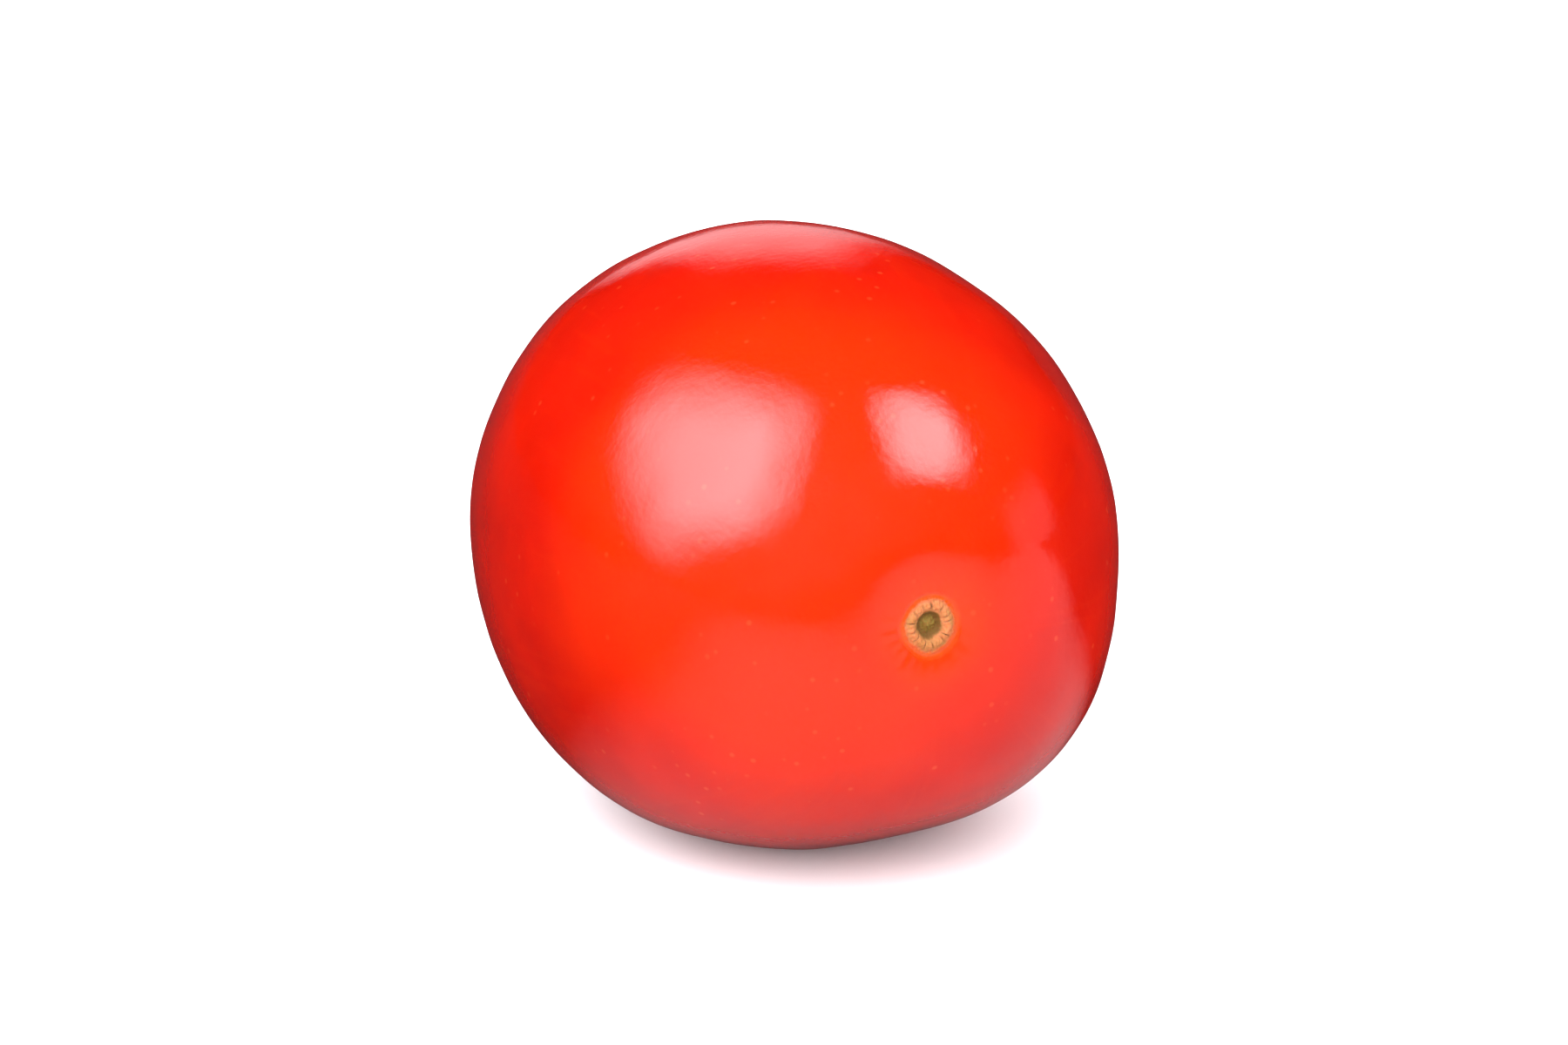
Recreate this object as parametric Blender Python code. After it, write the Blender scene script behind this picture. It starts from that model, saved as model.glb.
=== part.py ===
"""A cherry tomato of the small plum kind, as picked, lying on its side.

The fruit is one grown body: a plum-shaped berry with a shallow dimple and a corky scar where the
stalk came away, a small nipple at the blossom end, and a flat spot where it has settled.

Frame: metres, +Z up. The fruit's own axis lies along Y, nearly level, with the stem end at -Y
and the blossom tip at +Y. The origin is under the middle of the fruit, on the surface that it
rests on.
"""

import math

import bmesh
import bpy
from mathutils import Matrix, Vector

MM = 0.001

# The berry, before the dimple and the nipple shape its ends.
BODY_LENGTH = 33.4 * MM
BODY_DIAMETER = 26.0 * MM
STEM_FULLNESS = 0.84  # power of the sine that sets the radius: under 1 squares the shoulders
TIP_FULLNESS = 0.96
EGG_SHARE = 0.045  # how much wider the stem half is than the blossom half

# The cross-section isn't quite round: it is slightly oval, its lower half sags a little outwards
# under its own weight, and five soft furrows in the shoulders fade away from the stem end.
OVAL_SHARE = 0.008
OVAL_TURN = math.radians(25)
SAG_SHARE = 0.064  # how much wider the section is half way between its side and its underside
SAG_LEAN = 0.3  # share by which it sags more towards +X and less towards -X
FURROWS = 5
FURROW_DEPTH = 0.16 * MM
FURROW_REACH = 0.62  # share of the stem half's length over which a furrow fades out

# The stem end.
DIMPLE_DEPTH = 0.55 * MM
DIMPLE_RADIUS = 2.6 * MM
SCAR_RADIUS = 1.1 * MM  # outer edge of the corky ring
RING_WIDTH = 0.56 * MM
RING_HEIGHT = 0.16 * MM
MOAT_WIDTH = 0.4 * MM  # the narrow trough between the ring and the skin
MOAT_DEPTH = 0.07 * MM
CORE_DEPTH = 0.14 * MM  # how far the torn middle lies under the skin's level
NUB_RADIUS = 0.24 * MM
NUB_HEIGHT = 0.12 * MM

# The blossom end.
NIPPLE_HEIGHT = 0.3 * MM
NIPPLE_RADIUS = 1.7 * MM
STYLE_SCAR_RADIUS = 0.35 * MM  # the dry dot where the flower's style fell off
STYLE_SCAR_HEIGHT = 0.1 * MM

# How the fruit lies: its wider stem end rides a little high, as an egg's blunt end does, and its
# underside is pressed flat where it rests.
REST_TILT = math.radians(2.8)
SETTLED_DEPTH = 0.25 * MM

# How finely the surface is divided.
SEGMENTS = 48
BODY_RINGS = 26
DIMPLE_RINGS = 5
RINGS_PER_FEATURE = 3
NIPPLE_RINGS = 5
FADED = 1.6  # times its radius: where the dimple or the nipple has faded into the body
WIDTH_SAMPLES = 720
HALVINGS = 40  # steps of the search for the turn that has a given radius
MERGE_DISTANCE = 0.0001 * MM

SKIN_COLOUR = (0.62, 0.022, 0.008, 1.0)
SKIN_ROUGHNESS = 0.2
SHARP_ANGLE = math.radians(30)


def clear_scene():
    for obj in list(bpy.data.objects):
        bpy.data.objects.remove(obj)


def hump(offset, half_width):
    """1 at no offset, falling smoothly to 0 at half_width and beyond."""
    share = min(abs(offset) / half_width, 1.0)
    return 0.5 + 0.5 * math.cos(math.pi * share)


def bell(radius, reach):
    """1 on the axis, fading as a bell curve whose width is reach."""
    return math.exp(-((radius / reach) ** 2))


def body_radius(turn):
    """The radius of the plain berry at turn, before it is scaled to its diameter."""
    tipward = 0.5 - 0.5 * math.cos(turn)
    fullness = STEM_FULLNESS + (TIP_FULLNESS - STEM_FULLNESS) * tipward
    return max(0.0, math.sin(turn)) ** fullness * (1 + EGG_SHARE * math.cos(turn))


WIDEST = max(body_radius(math.pi * i / WIDTH_SAMPLES) for i in range(WIDTH_SAMPLES))


def skin_radius(turn):
    """Distance from the axis at turn, which runs from 0 at the stem pole to pi at the tip."""
    return 0.5 * BODY_DIAMETER * body_radius(turn) / WIDEST


def turn_at(radius, pole):
    """The turn between that pole and the waist at which the skin is this far from the axis."""
    near, far = pole, 0.5 * math.pi
    for _ in range(HALVINGS):
        middle = 0.5 * (near + far)
        if skin_radius(middle) < radius:
            near = middle
        else:
            far = middle
    return far


def scar_relief(radius):
    """How far the stem scar stands out of the skin at this distance from the axis."""
    ring_middle = SCAR_RADIUS - 0.5 * RING_WIDTH
    core_radius = SCAR_RADIUS - RING_WIDTH
    relief = RING_HEIGHT * hump(radius - ring_middle, 0.5 * RING_WIDTH)
    relief -= MOAT_DEPTH * hump(radius - SCAR_RADIUS - 0.5 * MOAT_WIDTH, 0.5 * MOAT_WIDTH)
    if radius < core_radius:
        relief -= CORE_DEPTH * hump(radius, core_radius) ** 0.5
    return relief + NUB_HEIGHT * hump(radius, NUB_RADIUS)


def place_along(turn, radius):
    """Place along the fruit's axis of the skin at turn, with both ends' features on it."""
    along = -0.5 * BODY_LENGTH * math.cos(turn)
    if turn < 0.5 * math.pi:
        return along + DIMPLE_DEPTH * bell(radius, DIMPLE_RADIUS) - scar_relief(radius)
    along += NIPPLE_HEIGHT * bell(radius, NIPPLE_RADIUS)
    return along + STYLE_SCAR_HEIGHT * hump(radius, STYLE_SCAR_RADIUS)


def stem_scar_radii():
    """The rings of points that the nub, the core, the corky ring and its moat need."""
    edges = [
        NUB_RADIUS,
        SCAR_RADIUS - RING_WIDTH,
        SCAR_RADIUS,
        SCAR_RADIUS + MOAT_WIDTH,
    ]
    radii = []
    inner = 0.0
    for outer in edges:
        step = (outer - inner) / RINGS_PER_FEATURE
        radii += [inner + step * (i + 1) for i in range(RINGS_PER_FEATURE)]
        inner = outer
    return radii


def profile():
    """(distance from the axis, place along it) from the stem pole to the blossom pole."""
    scar_edge = SCAR_RADIUS + MOAT_WIDTH
    dimple_edge = FADED * max(DIMPLE_RADIUS, scar_edge)
    dimple_step = (dimple_edge - scar_edge) / DIMPLE_RINGS
    radii = stem_scar_radii()
    radii += [scar_edge + dimple_step * (i + 1) for i in range(DIMPLE_RINGS)]
    turns = [0.0] + [turn_at(radius, 0.0) for radius in radii]

    nipple_edge = FADED * max(NIPPLE_RADIUS, STYLE_SCAR_RADIUS)
    first, last = turns[-1], turn_at(nipple_edge, math.pi)
    turns += [first + (last - first) * (i + 1) / BODY_RINGS for i in range(BODY_RINGS)]

    nipple_step = (nipple_edge - STYLE_SCAR_RADIUS) / NIPPLE_RINGS
    tip_radii = [nipple_edge - nipple_step * (i + 1) for i in range(NIPPLE_RINGS)]
    tip_radii.append(0.5 * STYLE_SCAR_RADIUS)
    turns += [turn_at(radius, math.pi) for radius in tip_radii] + [math.pi]
    return [(skin_radius(turn), place_along(turn, skin_radius(turn))) for turn in turns]


def spin_profile(bm):
    """Turns the profile once around the fruit's axis; its two ends lie on the axis."""
    chain = [bm.verts.new((radius, along, 0.0)) for radius, along in profile()]
    edges = [bm.edges.new(pair) for pair in zip(chain, chain[1:])]
    bmesh.ops.spin(
        bm,
        geom=chain + edges,
        cent=(0.0, 0.0, 0.0),
        axis=(0.0, 1.0, 0.0),
        angle=2 * math.pi,
        steps=SEGMENTS,
    )
    bmesh.ops.remove_doubles(bm, verts=bm.verts, dist=MERGE_DISTANCE)


def shape_section(bm):
    """Makes the round section slightly oval, lets it sag, and presses in the five furrows."""
    for vert in bm.verts:
        radius = vert.co.xz.length
        if radius < SCAR_RADIUS + MOAT_WIDTH:
            continue
        angle = math.atan2(vert.co.z, vert.co.x)
        toward_stem = max(0.0, -vert.co.y / (0.5 * BODY_LENGTH))
        fade = max(0.0, (toward_stem - (1 - FURROW_REACH)) / FURROW_REACH) ** 2
        clear_of_scar = 1 - bell(radius, DIMPLE_RADIUS)
        furrow = 0.5 + 0.5 * math.cos(FURROWS * angle)
        share = 1 + OVAL_SHARE * math.cos(2 * (angle - OVAL_TURN)) * clear_of_scar
        if vert.co.z < 0:
            sag = SAG_SHARE * (1 + SAG_LEAN * math.cos(angle))
            share += sag * math.sin(2 * angle) ** 2 * clear_of_scar
        share -= FURROW_DEPTH / radius * furrow * fade * clear_of_scar
        vert.co.x *= share
        vert.co.z *= share


def settle(bm):
    """Sets the fruit down on its flat spot, with the origin under the middle of its box."""
    bmesh.ops.rotate(bm, verts=bm.verts, matrix=Matrix.Rotation(-REST_TILT, 3, "X"))
    lows = [min(vert.co[axis] for vert in bm.verts) for axis in range(3)]
    highs = [max(vert.co[axis] for vert in bm.verts) for axis in range(3)]
    middle_x = 0.5 * (lows[0] + highs[0])
    middle_y = 0.5 * (lows[1] + highs[1])
    down = Vector((middle_x, middle_y, lows[2] + SETTLED_DEPTH))
    bmesh.ops.translate(bm, verts=bm.verts, vec=-down)
    cut = bmesh.ops.bisect_plane(
        bm,
        geom=bm.verts[:] + bm.edges[:] + bm.faces[:],
        dist=MERGE_DISTANCE,
        plane_co=(0.0, 0.0, 0.0),
        plane_no=(0.0, 0.0, 1.0),
        clear_inner=True,
    )
    rim = [item for item in cut["geom_cut"] if isinstance(item, bmesh.types.BMEdge)]
    bmesh.ops.contextual_create(bm, geom=rim)


def skin_material():
    material = bpy.data.materials.new("tomato_skin")
    material.use_nodes = True
    shader = material.node_tree.nodes["Principled BSDF"]
    shader.inputs["Base Color"].default_value = SKIN_COLOUR
    shader.inputs["Roughness"].default_value = SKIN_ROUGHNESS
    shader.inputs["Metallic"].default_value = 0.0
    return material


def build_tomato():
    bm = bmesh.new()
    spin_profile(bm)
    shape_section(bm)
    settle(bm)
    bmesh.ops.recalc_face_normals(bm, faces=bm.faces)
    mesh = bpy.data.meshes.new("tomato")
    bm.to_mesh(mesh)
    bm.free()
    mesh.materials.append(skin_material())
    mesh.shade_smooth()
    mesh.set_sharp_from_angle(angle=SHARP_ANGLE)
    tomato = bpy.data.objects.new("tomato", mesh)
    bpy.context.scene.collection.objects.link(tomato)
    return tomato


clear_scene()
build_tomato()
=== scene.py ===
import math

import bpy
import numpy as np
from mathutils import Matrix, Vector


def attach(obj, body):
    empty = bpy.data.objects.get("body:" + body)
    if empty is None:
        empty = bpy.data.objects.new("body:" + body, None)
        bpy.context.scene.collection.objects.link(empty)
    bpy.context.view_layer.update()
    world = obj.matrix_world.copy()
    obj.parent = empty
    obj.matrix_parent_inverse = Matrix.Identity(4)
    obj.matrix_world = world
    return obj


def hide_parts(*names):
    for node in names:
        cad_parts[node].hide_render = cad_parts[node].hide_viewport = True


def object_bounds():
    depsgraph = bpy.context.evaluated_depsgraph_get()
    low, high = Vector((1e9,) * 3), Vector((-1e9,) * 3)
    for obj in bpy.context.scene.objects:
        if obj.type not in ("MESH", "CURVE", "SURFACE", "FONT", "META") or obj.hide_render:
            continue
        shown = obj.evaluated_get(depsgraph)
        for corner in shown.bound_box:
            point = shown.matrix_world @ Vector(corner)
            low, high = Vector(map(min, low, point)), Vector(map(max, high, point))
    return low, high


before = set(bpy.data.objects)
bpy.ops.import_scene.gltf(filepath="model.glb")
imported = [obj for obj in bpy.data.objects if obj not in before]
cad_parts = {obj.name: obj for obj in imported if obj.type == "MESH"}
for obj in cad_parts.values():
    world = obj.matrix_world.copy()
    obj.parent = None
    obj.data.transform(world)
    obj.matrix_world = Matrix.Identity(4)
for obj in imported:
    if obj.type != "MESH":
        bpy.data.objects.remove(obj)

cadLow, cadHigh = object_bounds()
mm = 0.001

camera = {
    "azimuth": -21.5,       # degrees round the fruit, 0 looks along +Y
    "elevation": 18.5,      # degrees above the table
    "distance": 0.70,       # metres from the middle of the fruit's box
    "sensor": 36.0,         # millimetres
    "aspect": 1.5,          # the picture's width over its height
    "frameHeight": 0.0445,  # what the picture's height takes in, at the fruit
    "clip": (0.05, 5.0),
}


def towards(azimuth, elevation):
    # unit vector from the fruit towards that azimuth and elevation, in degrees
    turn, climb = math.radians(azimuth), math.radians(elevation)
    return Vector((math.sin(turn) * math.cos(climb), -math.cos(turn) * math.cos(climb), math.sin(climb)))


def placeCamera():
    # looks at the middle of the fruit's box; the lens is sensor times distance over the picture's width there
    data = bpy.data.cameras.new("camera")
    data.sensor_width = camera["sensor"]
    data.lens = camera["sensor"] * camera["distance"] / (camera["aspect"] * camera["frameHeight"])
    data.clip_start, data.clip_end = camera["clip"]
    eye = bpy.data.objects.new("camera", data)
    back = towards(camera["azimuth"], camera["elevation"])
    eye.location = (cadLow + cadHigh) / 2 + back * camera["distance"]
    eye.rotation_mode = "QUATERNION"
    eye.rotation_quaternion = (-back).to_track_quat("-Z", "Y")
    bpy.context.scene.collection.objects.link(eye)
    bpy.context.scene.camera = eye


# a wire is one socket of a node tree, and sums of wires and numbers add Math nodes
class Wire:
    def __init__(self, tree, socket=None):
        self.tree, self.socket = tree, socket

    def make(self, kind, settings=None, sockets=None, output=0):
        # any node: its settings come first, then a value or a link for each named socket
        node = self.tree.nodes.new(kind)
        for name, value in (settings or {}).items():
            setattr(node, name, value)
        for name, value in (sockets or {}).items():
            if isinstance(value, Wire):
                self.tree.links.new(value.socket, node.inputs[name])
            else:
                node.inputs[name].default_value = value
        return Wire(self.tree, node.outputs[output]) if node.outputs else None

    def math(self, operation, *terms):
        return self.make("ShaderNodeMath", {"operation": operation}, dict(enumerate(terms)))

    def __add__(self, other):
        return self.math("ADD", self, other)

    def __sub__(self, other):
        return self.math("SUBTRACT", self, other)

    def __rsub__(self, other):
        return self.math("SUBTRACT", other, self)

    def __mul__(self, other):
        return self.math("MULTIPLY", self, other)

    def __truediv__(self, other):
        return self.math("DIVIDE", self, other)

    __radd__, __rmul__ = __add__, __mul__

    def larger(self, other):
        return self.math("MAXIMUM", self, other)

    def step(self, low, high):
        # 0 below low and 1 above high, with a smooth rise between; low may be the larger
        if low > high:
            return 1 - self.step(high, low)
        settings = {"interpolation_type": "SMOOTHSTEP", "clamp": True}
        return self.make("ShaderNodeMapRange", settings, {0: self, 1: low, 2: high, 3: 0.0, 4: 1.0})

    def tint(self, under, over):
        # the colour under, replaced by the colour over as this wire goes from 0 to 1
        settings = {"data_type": "RGBA", "clamp_factor": True}
        return self.make("ShaderNodeMix", settings, {0: self, 6: under, 7: over}, output=2)

    def vector(self, operation, *terms):
        # Vector Math: its number for a dot product or a distance, and its vector otherwise
        output = "Value" if operation in ("DOT_PRODUCT", "DISTANCE") else "Vector"
        return self.make("ShaderNodeVectorMath", {"operation": operation}, dict(enumerate(terms)), output)


def emptyTree(owner):
    owner.use_nodes = True
    owner.node_tree.nodes.clear()
    return Wire(owner.node_tree)


softboxes = {
    # Each is aimed at the fruit from distance, and only gloss mirrors it. roll turns it about that line, in
    # degrees, lean is how much dimmer its left end is, and rim the share of its size over which it fades out.
    "key": {"azimuth": -89.5, "elevation": 42.5, "distance": 0.50, "size": (0.84, 0.80), "roll": 35.0,
            "radiance": 10.2, "lean": 0.65, "rim": 0.80, "colour": (1.0, 0.92, 1.03, 1.0)},
    "side": {"azimuth": 47.5, "elevation": 55.0, "distance": 0.50, "size": (0.37, 0.40), "roll": -44.0,
             "radiance": 8.4, "lean": 0.1, "rim": 0.80, "colour": (1.0, 0.92, 1.0, 1.0)},
    "backdrop": {"azimuth": 162.0, "elevation": 10.0, "distance": 0.60, "size": (0.27, 0.50), "roll": 0.0,
                 "radiance": 0.8, "lean": 0.3, "rim": 0.70, "colour": (1.0, 0.97, 1.0, 1.0)},
    "paleSide": {"azimuth": 67.0, "elevation": 0.0, "distance": 0.60, "size": (0.40, 0.62), "roll": 0.0,
                 "radiance": 0.55, "lean": 0.0, "rim": 0.70, "colour": (1.0, 0.95, 1.0, 1.0)},
}


def hangSoftbox(name, box):
    # an area light whose radiance is a rise and a fall in both directions, times a slope from left to right
    data = bpy.data.lights.new(name, "AREA")
    data.shape = "RECTANGLE"
    data.size, data.size_y = box["size"]
    data.energy = math.pi * data.size * data.size_y
    tree = emptyTree(data)
    parametric = tree.make("ShaderNodeNewGeometry", output="Parametric")
    across = tree.make("ShaderNodeSeparateXYZ", None, {0: parametric}, "X")
    upward = tree.make("ShaderNodeSeparateXYZ", None, {0: parametric}, "Y")
    fade = box["rim"] / 2
    rim = across.step(0.0, fade) * across.step(1.0, 1 - fade)
    rim = rim * upward.step(0.0, fade) * upward.step(1.0, 1 - fade)
    shine = rim * (across * box["lean"] + (1 - box["lean"])) * box["radiance"]
    emission = tree.make("ShaderNodeEmission", None, {"Color": box["colour"], "Strength": shine})
    tree.make("ShaderNodeOutputLight", None, {"Surface": emission})
    lamp = bpy.data.objects.new(name, data)
    away = towards(box["azimuth"], box["elevation"])
    lamp.location = (cadLow + cadHigh) / 2 + away * box["distance"]
    roll = Matrix.Rotation(math.radians(box["roll"]), 3, "Z").to_quaternion()
    lamp.rotation_mode = "QUATERNION"
    lamp.rotation_quaternion = away.to_track_quat("Z", "Y") @ roll
    lamp.visible_camera = False
    lamp.visible_diffuse = False
    bpy.context.scene.collection.objects.link(lamp)


dome = {
    "glow": 1.68,           # soft white light from the whole room
    "keyGlow": 4.50,        # and how much more comes from the key's side
    "keyAzimuth": -42.0,
    "keyElevation": 30.0,
    "white": (1.0, 0.99, 1.0, 1.0),
    "mirrored": 0.30,       # the gloss mirrors a dim red instead, as it would among other fruit
    "red": (1.0, 0.03, 0.02, 1.0),
}


def glowDome():
    # plain white to the eye; to everything matt, glow plus keyGlow times the squared cosine off the key
    world = bpy.data.worlds.new("studio")
    tree = emptyTree(world)
    direction = tree.make("ShaderNodeTexCoord", output="Generated")
    key = towards(dome["keyAzimuth"], dome["keyElevation"])
    facing = tree.vector("DOT_PRODUCT", direction, key).larger(0.0)
    seen = tree.make("ShaderNodeLightPath", output="Is Camera Ray")
    glossy = tree.make("ShaderNodeLightPath", output="Is Glossy Ray")
    strength = (facing * facing * dome["keyGlow"] + dome["glow"]) * (1 - seen - glossy)
    strength = strength + seen + glossy * dome["mirrored"]
    colour = glossy.tint(dome["white"], dome["red"])
    light = tree.make("ShaderNodeBackground", None, {"Color": colour, "Strength": strength})
    tree.make("ShaderNodeOutputWorld", None, {"Surface": light})
    bpy.context.scene.world = world


table = {
    "radius": 2.2,
    "corners": 128,
    "sunk": 0.02 * mm,
    "colour": (0.95, 0.93, 0.95, 1.0),
    "roughness": 0.7,
    "gloss": 0.1,
    # The fruit is lit by and mirrors only a wedge of it, which opens towards the camera's side from apart
    # behind the fruit's middle. Outside the wedge it is dark red to the fruit: painted shade on its flanks
    # and a painted reflection of other fruit, which is not there.
    "dark": (0.07, 0.003, 0.003, 1.0),
    "bounced": 0.60,        # how much of the wedge's whiteness lights the fruit; the rest is painted shade on the fruit's underside
    "mirrored": 0.25,       # and how much of it the gloss mirrors
    "lit": 0.25,            # sideways over lengthways distance up to which the wedge is white
    "unlit": 1.0,           # and past which it is dark
    "apart": 0.023,
    "shift": 0.008,         # how far to the right the wedge's middle lies
    "rightShare": 0.05,     # on the right, a sideways distance counts this little
    "hidden": (-0.008, 0.004),  # lengthways distances over which the gloss starts to mirror it
    "faded": (0.160, 0.030),    # and distances in front of the fruit where it is dark again and still white
}


def layTable():
    # a matt disc, far wider than any view, plain white to the eye; to the fruit it is painted with shade and
    # a dark red reflection outside the wedge, whose whiteness falls as the sideways distance over the
    # lengthways one rises, and again as the lengthways one does
    angles = np.linspace(0, 2 * math.pi, table["corners"], endpoint=False)
    rim = table["radius"] * np.stack([np.cos(angles), np.sin(angles), 0 * angles], axis=1)
    rim[:, 2] = -table["sunk"]
    mesh = bpy.data.meshes.new("table")
    mesh.from_pydata(rim.tolist(), [], [list(range(table["corners"]))])
    board = bpy.data.objects.new("table", mesh)
    material = bpy.data.materials.new("tableTop")
    tree = emptyTree(material)
    place = tree.make("ShaderNodeTexCoord", output="Object")
    lengthways = tree.vector("DOT_PRODUCT", place, towards(camera["azimuth"], 0.0))
    sideways = tree.vector("DOT_PRODUCT", place, towards(camera["azimuth"] + 90, 0.0)) - table["shift"]
    sideways = (sideways * table["rightShare"]).larger(sideways * -1)
    inFront = lengthways.larger(0.0)
    whiteness = (sideways / (inFront + table["apart"])).step(table["unlit"], table["lit"])
    whiteness = whiteness * inFront.step(*table["faded"])
    seen = tree.make("ShaderNodeLightPath", output="Is Camera Ray")
    glossy = tree.make("ShaderNodeLightPath", output="Is Glossy Ray")
    mirrored = lengthways.step(*table["hidden"]) * table["mirrored"]
    whiteness = whiteness * (glossy * (mirrored - table["bounced"]) + table["bounced"])
    # painted shade and reflection: to all but the eye the table runs from its white towards dark red outside
    # the wedge
    shade = (1 - seen) * (1 - whiteness)
    shader = tree.make("ShaderNodeBsdfPrincipled", None, {
        "Base Color": shade.tint(table["colour"], table["dark"]),
        "Roughness": table["roughness"],
        "Specular IOR Level": table["gloss"],
    })
    tree.make("ShaderNodeOutputMaterial", None, {"Surface": shader})
    mesh.materials.append(material)
    bpy.context.scene.collection.objects.link(board)


placeCamera()
for name, box in softboxes.items():
    hangSoftbox(name, box)
glowDome()
layTable()
bpy.context.scene.view_settings.view_transform = "Standard"
print("studio ready")

berry = {
    "length": 33.4 * mm,
    "diameter": 26.0 * mm,
    "stemFullness": 0.84,   # power of the sine that sets the radius: under 1 squares the shoulders
    "tipFullness": 0.96,
    "eggShare": 0.045,      # how much wider the stem half is
    "ovalShare": 0.008,
    "ovalTurn": math.radians(25),
    "sagShare": 0.064,      # how much wider it is half way between its side and its underside
    "sagLean": 0.3,         # share by which it sags more towards +X
    "furrows": 5,
    "furrowDepth": 0.16 * mm,
    "furrowReach": 0.62,
    "restTilt": math.radians(2.8),
    "settledDepth": 0.25 * mm,
    "settledBlend": 0.02 * mm,
    "swell": 0.032 * mm,    # long soft undulations of the flesh under the skin
    "swellLength": 7.0 * mm,
    "ripple": 0.0055 * mm,
    "rippleLength": 2.4 * mm,
    "calm": (1.0 * mm, 5.0 * mm),  # distances from the axis over which both set in
}
scar = {
    "dimpleDepth": 0.55 * mm,
    "dimpleRadius": 2.6 * mm,
    "radius": 1.1 * mm,
    "ringWidth": 0.53 * mm,
    "ringHeight": 0.17 * mm,
    "ringSquareness": 0.75,         # power of the hump: under 1 flattens its top
    "ringHeights": (0.85, 0.2),     # the height's mean share, and how much it wobbles
    "ringWander": 0.035,            # share by which the ring's radius wobbles
    "moatWidth": 0.4 * mm,
    "moatDepth": 0.045 * mm,
    "coreDepth": 0.2 * mm,
    "coreWall": (0.68, 1.05),       # where its wall starts and ends, in shares of the ring's inner radius
    "nubRadius": 0.30 * mm,
    "nubHeight": 0.16 * mm,
    "nubSquareness": 0.6,
    "nubWander": 0.16,
    "cracks": 13,
    "crackSeed": 5,
    "crackDepth": 0.09 * mm,
    "crackWidth": 0.035 * mm,
    "crackWidths": (0.6, 1.5),      # thinnest and widest, in shares of that
    "crackStrengths": (0.4, 1.0),
    "crackWander": 0.3,             # off its even place, as a share of the space between two
    "crackLean": 0.25,
    "crackPivot": 0.7,              # where a leaning crack keeps its place, in shares of the radius
    "crumbs": 0.012 * mm,
    "crumbLength": 0.16 * mm,
    "puckers": (14, 23),            # fewest and most waves round the scar
    "puckerDepth": 0.004 * mm,
    "puckerMiddle": 0.7 * mm,       # outside the ring
    "puckerReach": 0.8 * mm,
    "extent": 3.0 * mm,             # past this distance from the axis the skin has none of the scar's relief
}
tip = {
    "nippleHeight": 0.3 * mm,
    "nippleRadius": 1.7 * mm,
    "dotRadius": 0.35 * mm,
    "dotHeight": 0.1 * mm,
}
grid = {
    # each run of rings goes between two distances from the axis: close in the scar, wider over the dimple
    # and the body, and close again at the tip
    "columns": 288,
    "scarRings": (0.025 * mm, 1.65 * mm, 62),
    "dimpleRings": (1.65 * mm, 4.6 * mm, 30),
    "tipRings": (3.0 * mm, 0.04 * mm, 40),
    "bodyRings": 142,
    "samples": 20001,       # places at which the plain radius is worked out
    "elsewhere": 50.0,      # what a distance attribute says on the fruit's other half
}
columns = grid["columns"]


def hump(offset, halfWidth):
    # 1 at no offset, half a cosine wave down to 0 at halfWidth
    share = np.clip(np.abs(offset) / halfWidth, 0, 1)
    return 0.5 + 0.5 * np.cos(math.pi * share)


def bell(distance, reach):
    # e to the minus the square of distance over reach
    return np.exp(-((distance / reach) ** 2))


def smoothStep(low, high, value):
    # 0 below low, 1 above high, and three squares less two cubes of the share between
    share = np.clip((value - low) / (high - low), 0, 1)
    return share * share * (3 - 2 * share)


def plainRadius(turn):
    # the sine of the turn, to a power that changes from stem to tip, times a share that widens the stem half
    tipward = 0.5 - 0.5 * np.cos(turn)
    fullness = berry["stemFullness"] + (berry["tipFullness"] - berry["stemFullness"]) * tipward
    return np.clip(np.sin(turn), 0, None) ** fullness * (1 + berry["eggShare"] * np.cos(turn))


turnSamples = np.linspace(0, math.pi, grid["samples"])
radiusSamples = plainRadius(turnSamples)
radiusSamples *= berry["diameter"] / 2 / radiusSamples.max()


def turnsAt(radii, fromStem):
    # the turns, on the stem half or on the blossom half, at which the fruit has these radii
    half = len(turnSamples) // 2
    if fromStem:
        return np.interp(radii, radiusSamples[:half], turnSamples[:half])
    return np.interp(radii, radiusSamples[half:][::-1], turnSamples[half:][::-1])


def ringTurns():
    # even steps of radius in the scar, the dimple and the tip, and even steps of turn over the body between
    scarRings = turnsAt(np.linspace(*grid["scarRings"]), True)
    dimpleRings = turnsAt(np.linspace(*grid["dimpleRings"])[1:], True)
    tipRings = turnsAt(np.linspace(*grid["tipRings"]), False)
    bodyRings = np.linspace(dimpleRings[-1], tipRings[0], grid["bodyRings"])[1:-1]
    return np.concatenate([scarRings, dimpleRings, bodyRings, tipRings])


def ripples(points, wavelength, seed, count=24, spread=(0.75, 1.35)):
    # the sum of plane waves with random directions and phases, about 1 in size; their lengths are wavelength
    # times a random share out of spread
    draw = np.random.default_rng(seed)
    total = np.zeros(points.shape[:-1])
    for _ in range(count):
        direction = draw.normal(size=3)
        direction *= 2 * math.pi / (np.linalg.norm(direction) * wavelength * draw.uniform(*spread))
        total += np.sin(points @ direction + draw.uniform(0, 2 * math.pi))
    return total * math.sqrt(2 / count)


def wobble(angle, seed, slowest, fastest, fading=0.7):
    # the sum of cosines of whole multiples of the angle with random phases, each divided by its multiple to
    # the power fading, about 1 in size
    draw = np.random.default_rng(seed)
    multiples = range(slowest, fastest + 1)
    total = sum(np.cos(k * angle + draw.uniform(0, 2 * math.pi)) / k ** fading for k in multiples)
    return total * math.sqrt(2 / sum(k ** (-2 * fading) for k in multiples))


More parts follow.
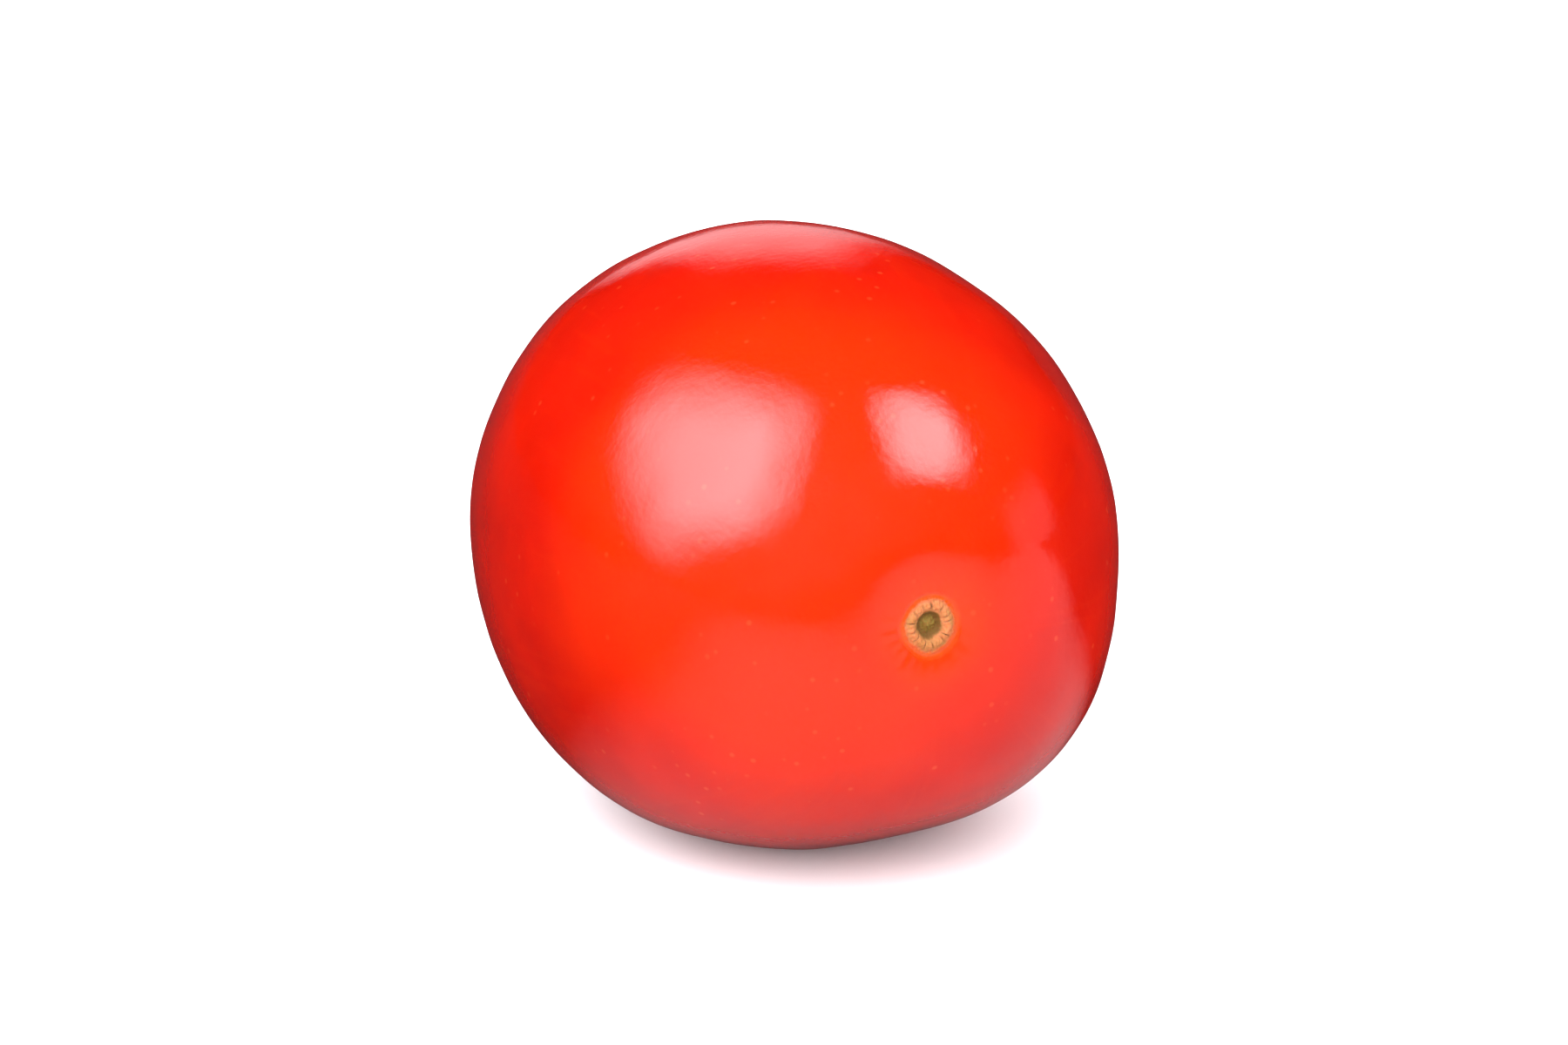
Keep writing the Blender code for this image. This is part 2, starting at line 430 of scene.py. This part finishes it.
def crackShare(angle, radius):
    # for each crack, a bell of the distance along the ring from the crack's angle
    draw = np.random.default_rng(scar["crackSeed"])
    share = np.zeros_like(angle)
    for k in range(scar["cracks"]):
        middle = 2 * math.pi * (k + draw.uniform(-scar["crackWander"], scar["crackWander"])) / scar["cracks"]
        lean = draw.uniform(-scar["crackLean"], scar["crackLean"])
        lean = lean * (radius / scar["radius"] - scar["crackPivot"])
        apart = np.angle(np.exp(1j * (angle - middle - lean)))
        width = scar["crackWidth"] * draw.uniform(*scar["crackWidths"])
        share = np.maximum(share, bell(apart * radius, width) * draw.uniform(*scar["crackStrengths"]))
    return share


def scarRelief(angle, radius, points):
    # ring plus nub less moat, core and cracks, all on a radius that wobbles with the angle
    edge = radius / (1 + scar["ringWander"] * wobble(angle, seed=11, slowest=1, fastest=5))
    ringMiddle = scar["radius"] - scar["ringWidth"] / 2
    coreRadius = scar["radius"] - scar["ringWidth"]
    onRing = hump(edge - ringMiddle, scar["ringWidth"] / 2) ** scar["ringSquareness"]
    mean, unevenness = scar["ringHeights"]
    share = mean + unevenness * wobble(angle, seed=12, slowest=1, fastest=4)
    relief = scar["ringHeight"] * onRing * share
    cracks = crackShare(angle, radius) * onRing
    relief -= scar["crackDepth"] * cracks
    relief -= scar["moatDepth"] * hump(edge - scar["radius"] - scar["moatWidth"] / 2, scar["moatWidth"] / 2)
    wallStart, wallEnd = scar["coreWall"]
    relief -= scar["coreDepth"] * (1 - smoothStep(wallStart * coreRadius, wallEnd * coreRadius, edge))
    nubEdge = radius / (1 + scar["nubWander"] * wobble(angle, seed=13, slowest=1, fastest=6))
    relief += scar["nubHeight"] * hump(nubEdge, scar["nubRadius"]) ** scar["nubSquareness"]
    onScar = 1 - smoothStep(scar["radius"], scar["radius"] + 0.5 * scar["moatWidth"], edge)
    relief += scar["crumbs"] * ripples(points, scar["crumbLength"], seed=14) * onScar
    around = hump(radius - scar["radius"] - scar["puckerMiddle"], scar["puckerReach"])
    fewest, most = scar["puckers"]
    relief += scar["puckerDepth"] * wobble(angle, seed=15, slowest=fewest, fastest=most) * around
    return relief, edge, cracks


def outwardNormals(points):
    # the cross product of the differences along the columns and along the rings
    alongTurn = np.gradient(points, axis=0)
    alongAngle = np.roll(points, -1, axis=1) - np.roll(points, 1, axis=1)
    normals = np.cross(alongTurn, alongAngle)
    return normals / np.linalg.norm(normals, axis=2, keepdims=True)


def shapeBerry():
    # a grid of turns by angles: an egg-shaped spin about Y, then the relief along its normals
    turn = ringTurns()[:, None]
    angle = (2 * math.pi * np.arange(columns) / columns)[None, :]
    radius = np.interp(turn, turnSamples, radiusSamples)
    along = -berry["length"] / 2 * np.cos(turn)
    stemHalf = turn < math.pi / 2
    dimple = scar["dimpleDepth"] * bell(radius, scar["dimpleRadius"])
    nipple = tip["nippleHeight"] * bell(radius, tip["nippleRadius"])
    nipple = nipple + tip["dotHeight"] * hump(radius, tip["dotRadius"])
    along = along + np.where(stemHalf, dimple, nipple)

    clear = 1 - bell(radius, scar["dimpleRadius"])
    oval = 1 + berry["ovalShare"] * np.cos(2 * (angle - berry["ovalTurn"])) * clear
    sag = berry["sagShare"] * (1 + berry["sagLean"] * np.cos(angle)) * np.sin(2 * angle) ** 2
    oval = oval + np.where(np.sin(angle) < 0, sag, 0) * clear
    toStem = np.clip(-along / (berry["length"] / 2), 0, None)
    fade = np.clip((toStem - 1 + berry["furrowReach"]) / berry["furrowReach"], 0, None) ** 2
    furrow = 0.5 + 0.5 * np.cos(berry["furrows"] * angle)
    width = radius * oval - berry["furrowDepth"] * furrow * fade * clear
    points = np.stack([width * np.cos(angle), along + 0 * angle, width * np.sin(angle)], axis=2)

    relief, edge, cracks = scarRelief(angle + 0 * turn, radius + 0 * angle, points)
    relief = np.where(stemHalf & (radius < scar["extent"]), relief, 0)
    calm = smoothStep(*berry["calm"], radius)
    relief = relief - berry["swell"] * ripples(points, berry["swellLength"], seed=1) * calm
    relief = relief - berry["ripple"] * ripples(points, berry["rippleLength"], seed=2) * calm
    points = points + outwardNormals(points) * relief[:, :, None]
    poles = np.array([[0, points[0, :, 1].mean(), 0], [0, points[-1, :, 1].mean(), 0]])
    facts = {
        "scarMm": np.where(stemHalf, edge / mm, grid["elsewhere"]),
        "tipMm": np.where(stemHalf, grid["elsewhere"], radius / mm) + 0 * angle,
        "crackShare": np.where(stemHalf, cracks, 0.0),
    }
    lengthShare = along / berry["length"] + 0 * angle
    growth = np.stack([np.cos(angle) + 0 * turn, np.sin(angle) + 0 * turn, lengthShare], axis=2)
    return points, poles, facts, growth


def settle(points):
    # tips the stem end up, lowers the fruit onto the table and fits it to the CAD box, then rounds off what
    # would sink in: half of the height plus the root of its square and the blend's
    tilt = np.array(Matrix.Rotation(-berry["restTilt"], 3, "X"))
    points = points @ tilt.T
    low, high = points.min(axis=0), points.max(axis=0)
    low[2] += berry["settledDepth"]
    scale = np.array(cadHigh - cadLow) / (high - low)
    points = (points - low) * scale + np.array(cadLow)
    lift = points[:, 2]
    blend = berry["settledBlend"]
    points[:, 2] = (lift + np.sqrt(lift * lift + blend * blend)) / 2
    return points


def gridFaces(rings):
    # quads between neighbouring rings, and a fan of triangles to each pole
    ring, column = np.meshgrid(np.arange(rings - 1), np.arange(columns), indexing="ij")
    after = (column + 1) % columns
    here, there = ring * columns, (ring + 1) * columns
    quads = np.stack([here + column, there + column, there + after, here + after], axis=2).reshape(-1, 4)
    around = np.arange(columns)
    beside = (around + 1) % columns
    stemPole, tipPole = rings * columns, rings * columns + 1
    last = (rings - 1) * columns
    stemFan = np.stack([np.full(columns, stemPole), around, beside], axis=1)
    tipFan = np.stack([np.full(columns, tipPole), last + beside, last + around], axis=1)
    return quads, np.concatenate([stemFan, tipFan])


def meshFromFaces(name, points, quads, triangles):
    # the corners of the quads and then of the triangles, in one list with each face's start
    mesh = bpy.data.meshes.new(name)
    mesh.vertices.add(len(points))
    mesh.vertices.foreach_set("co", points.astype(np.float32).ravel())
    corners = np.concatenate([quads.ravel(), triangles.ravel()])
    starts = np.concatenate([np.arange(len(quads)) * 4, len(quads) * 4 + np.arange(len(triangles)) * 3])
    mesh.loops.add(len(corners))
    mesh.loops.foreach_set("vertex_index", corners.astype(np.int32))
    mesh.polygons.add(len(starts))
    mesh.polygons.foreach_set("loop_start", starts.astype(np.int32))
    mesh.update(calc_edges=True)
    mesh.validate()
    mesh.shade_smooth()
    return mesh


def growBerry():
    # the grid as one closed mesh, with distances from the axis and a direction of growth at its points
    points, poles, facts, growth = shapeBerry()
    flat = settle(np.concatenate([points.reshape(-1, 3), poles]))
    quads, triangles = gridFaces(len(points))
    mesh = meshFromFaces("tomato_berry", flat, quads, triangles)
    poleFacts = {
        "scarMm": [0.0, grid["elsewhere"]],
        "tipMm": [grid["elsewhere"], 0.0],
        "crackShare": [0.0, 0.0],
    }
    for name, value in facts.items():
        layer = mesh.attributes.new(name, "FLOAT", "POINT")
        layer.data.foreach_set("value", np.concatenate([value.ravel(), poleFacts[name]]).astype(np.float32))
    layer = mesh.attributes.new("growth", "FLOAT_VECTOR", "POINT")
    ends = [[0, 0, -0.5], [0, 0, 0.5]]
    layer.data.foreach_set("vector", np.concatenate([growth.reshape(-1, 3), ends]).astype(np.float32).ravel())
    piece = bpy.data.objects.new("tomato_berry", mesh)
    bpy.context.scene.collection.objects.link(piece)
    return piece


skin = {
    "deepRed": (0.335, 0.0010, 0.0004, 1.0),
    "brightRed": (0.412, 0.0032, 0.00035, 1.0),
    "patchScale": 230.0,
    "patchEdges": (0.32, 0.70),             # noise values at which deep turns to bright
    "warmRed": (0.471, 0.0153, 0.00035, 1.0),  # orange red of the veins, and of the painted light on the lit upper front of the stem end
    # painted light: the warm spot sits on the upper front of the stem end, which faces the key and the camera
    "paintedLightSpot": (-5.6 * mm, -14.0 * mm, 17.1 * mm),
    "paintedLightReach": (14.5 * mm, 8.0 * mm),     # no warmth at the first distance, all of it at the second
    "paintedLightScale": 160.0,
    "paintedLightFray": 6 * mm,
    "warmShare": 0.25,                      # of it everywhere else
    "paintedLightMost": 0.95,
    "veinStretch": (7.0, 7.0, 2.0),         # finer round the fruit than along it
    "veinScale": 2.2,
    "veinEdges": (0.52, 0.72),
    "veinShare": 0.16,
    "veinStart": (2.0, 7.0),                # mm from the axis over which the veins set in
    "halo": (0.480, 0.034, 0.0012, 1.0),    # close round the scar
    "haloReach": (3.4, 1.1),                # mm from the axis
    "haloShare": 0.45,
    "speck": (0.529, 0.059, 0.0176, 1.0),
    "speckScale": 1150.0,
    "speckSize": (0.20, 0.06),              # distances from a cell's point, in cells
    "speckPatches": 300.0,
    "speckEdges": (0.45, 0.65),
    "speckShare": 0.35,
    "roughness": 0.11,
    "roughSpread": 0.06,
    "roughScale": 900.0,
    "finePores": (3800.0, 0.6),             # scale and height
    "broadPores": (1500.0, 0.8),
    "bumpStrength": 0.08,
    "bumpDistance": 0.0002,
    "underGloss": 0.35,                     # strength of the skin's own broad gloss
    "wax": 0.4,                             # strength of the thin bright wax on it
    "waxRoughness": 0.04,
    "waxIor": 1.5,
    "fleshGlow": 0.25,                      # share of the light that goes through the flesh
    "fleshReach": (1.0, 0.12, 0.05),
    "fleshDepth": 1.2 * mm,
}
cork = {
    "pale": (0.400, 0.138, 0.045, 1.0),
    "tan": (0.330, 0.108, 0.026, 1.0),
    "olive": (0.220, 0.110, 0.016, 1.0),
    "crack": (0.076, 0.032, 0.0082, 1.0),
    "pit": (0.118, 0.052, 0.0024, 1.0),
    "nub": (0.150, 0.090, 0.008, 1.0),
    "moat": (0.365, 0.059, 0.0059, 1.0),
    "dot": (0.306, 0.159, 0.059, 1.0),
    "frayScale": 2600.0,
    "fray": 0.22,                           # mm by which the edges below wander
    "moatEdge": (1.55, 1.15),               # mm from the axis, as are the next four
    "ringEdge": (1.20, 0.98),
    "pitEdge": (0.66, 0.50),
    "nubEdge": (0.36, 0.22),
    "dotEdge": (0.42, 0.26),
    "moatShare": 0.75,
    "grainScale": 5200.0,
    "grainEdges": (0.30, 0.72),
    "nubGrain": (-0.5, 0.6),
    "grainHeight": 3.0,
    "oliveScale": 900.0,
    "oliveEdges": (0.45, 0.62),
    "oliveShare": 0.45,
    "crackShare": 0.9,
    "roughness": 0.82,
}


def skinFinish():
    # reds laid over each other from the broad patches to the specks, then the scar from the outside in
    material = bpy.data.materials.new("tomatoSkin")
    tree = emptyTree(material)

    def fact(name):
        return tree.make("ShaderNodeAttribute", {"attribute_name": name}, output="Fac")

    def speckle(scale, detail, place, roughness=0.5):
        # noise between 0 and 1, mostly near a half
        sockets = {"Vector": place, "Scale": scale, "Detail": detail, "Roughness": roughness}
        return tree.make("ShaderNodeTexNoise", None, sockets)

    place = tree.make("ShaderNodeTexCoord", output="Object")
    growth = tree.make("ShaderNodeAttribute", {"attribute_name": "growth"}, output="Vector")
    scarMm, tipMm, cracks = fact("scarMm"), fact("tipMm"), fact("crackShare")

    # red that varies in soft patches, with painted light: more orange over the upper front of the stem end,
    # where the light falls
    patches = speckle(skin["patchScale"], 2.0, place).step(*skin["patchEdges"])
    colour = patches.tint(skin["deepRed"], skin["brightRed"])
    away = place.vector("DISTANCE", place, skin["paintedLightSpot"])
    away = away + (speckle(skin["paintedLightScale"], 1.0, place) - 0.5) * skin["paintedLightFray"]
    warmthAndPaintedLight = away.step(*skin["paintedLightReach"]) * (skin["paintedLightMost"] - skin["warmShare"]) + skin["warmShare"]
    colour = warmthAndPaintedLight.tint(colour, skin["warmRed"])

    # faint veins that run from the stem end to the tip under the skin
    stretched = growth.vector("MULTIPLY", growth, skin["veinStretch"])
    veins = speckle(skin["veinScale"], 3.0, stretched, roughness=0.6).step(*skin["veinEdges"])
    veins = veins * skin["veinShare"] * scarMm.step(*skin["veinStart"])
    colour = veins.tint(colour, skin["warmRed"])

    # small pale specks, each a dot round a random point
    cell = {"Vector": place, "Scale": skin["speckScale"]}
    cells = tree.make("ShaderNodeTexVoronoi", {"feature": "F1"}, cell, "Distance")
    few = speckle(skin["speckPatches"], 0.0, place).step(*skin["speckEdges"])
    specks = cells.step(*skin["speckSize"]) * few * skin["speckShare"]
    colour = specks.tint(colour, skin["speck"])

    # the halo, the moat, the corky ring, the pit and the nub, from the outside in, and the tip's dot
    fray = (speckle(cork["frayScale"], 2.0, place) - 0.5) * cork["fray"]
    ring = scarMm + fray
    colour = (scarMm.step(*skin["haloReach"]) * skin["haloShare"]).tint(colour, skin["halo"])
    colour = (ring.step(*cork["moatEdge"]) * cork["moatShare"]).tint(colour, cork["moat"])
    grain = speckle(cork["grainScale"], 3.0, place, roughness=0.65).step(*cork["grainEdges"])
    corky = grain.tint(cork["tan"], cork["pale"])
    olive = speckle(cork["oliveScale"], 1.0, place).step(*cork["oliveEdges"]) * cork["oliveShare"]
    corky = olive.tint(corky, cork["olive"])
    corky = (cracks * cork["crackShare"]).tint(corky, cork["crack"])
    onCork = ring.step(*cork["ringEdge"])
    colour = onCork.tint(colour, corky)
    colour = ring.step(*cork["pitEdge"]).tint(colour, cork["pit"])
    colour = (ring.step(*cork["nubEdge"]) * grain.step(*cork["nubGrain"])).tint(colour, cork["nub"])
    onDot = (tipMm + fray).step(*cork["dotEdge"])
    colour = onDot.tint(colour, cork["dot"])

    # waxy skin with fine pores, and dry grainy cork
    dry = onCork.larger(onDot)
    roughness = (speckle(skin["roughScale"], 2.0, place) - 0.5) * skin["roughSpread"] + skin["roughness"]
    roughness = roughness * (1 - dry) + dry * cork["roughness"]
    fineScale, fineHeight = skin["finePores"]
    broadScale, broadHeight = skin["broadPores"]
    pores = speckle(fineScale, 2.0, place) * fineHeight + speckle(broadScale, 1.0, place) * broadHeight
    height = pores * (1 - dry) + grain * dry * cork["grainHeight"]
    bump = tree.make("ShaderNodeBump", None, {
        "Strength": skin["bumpStrength"],
        "Distance": skin["bumpDistance"],
        "Height": height,
    })
    shader = tree.make("ShaderNodeBsdfPrincipled", None, {
        "Base Color": colour,
        "Roughness": roughness,
        "Normal": bump,
        "Specular IOR Level": skin["underGloss"],
        "Coat Weight": (1 - dry) * skin["wax"],
        "Coat Roughness": skin["waxRoughness"],
        "Coat IOR": skin["waxIor"],
        "Subsurface Weight": skin["fleshGlow"],
        "Subsurface Radius": skin["fleshReach"],
        "Subsurface Scale": skin["fleshDepth"],
    })
    tree.make("ShaderNodeOutputMaterial", None, {"Surface": shader})
    return material


berryPiece = growBerry()
berryPiece.data.materials.append(skinFinish())
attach(berryPiece, "root")
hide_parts("tomato")
print("berry grown:", len(berryPiece.data.polygons), "faces")
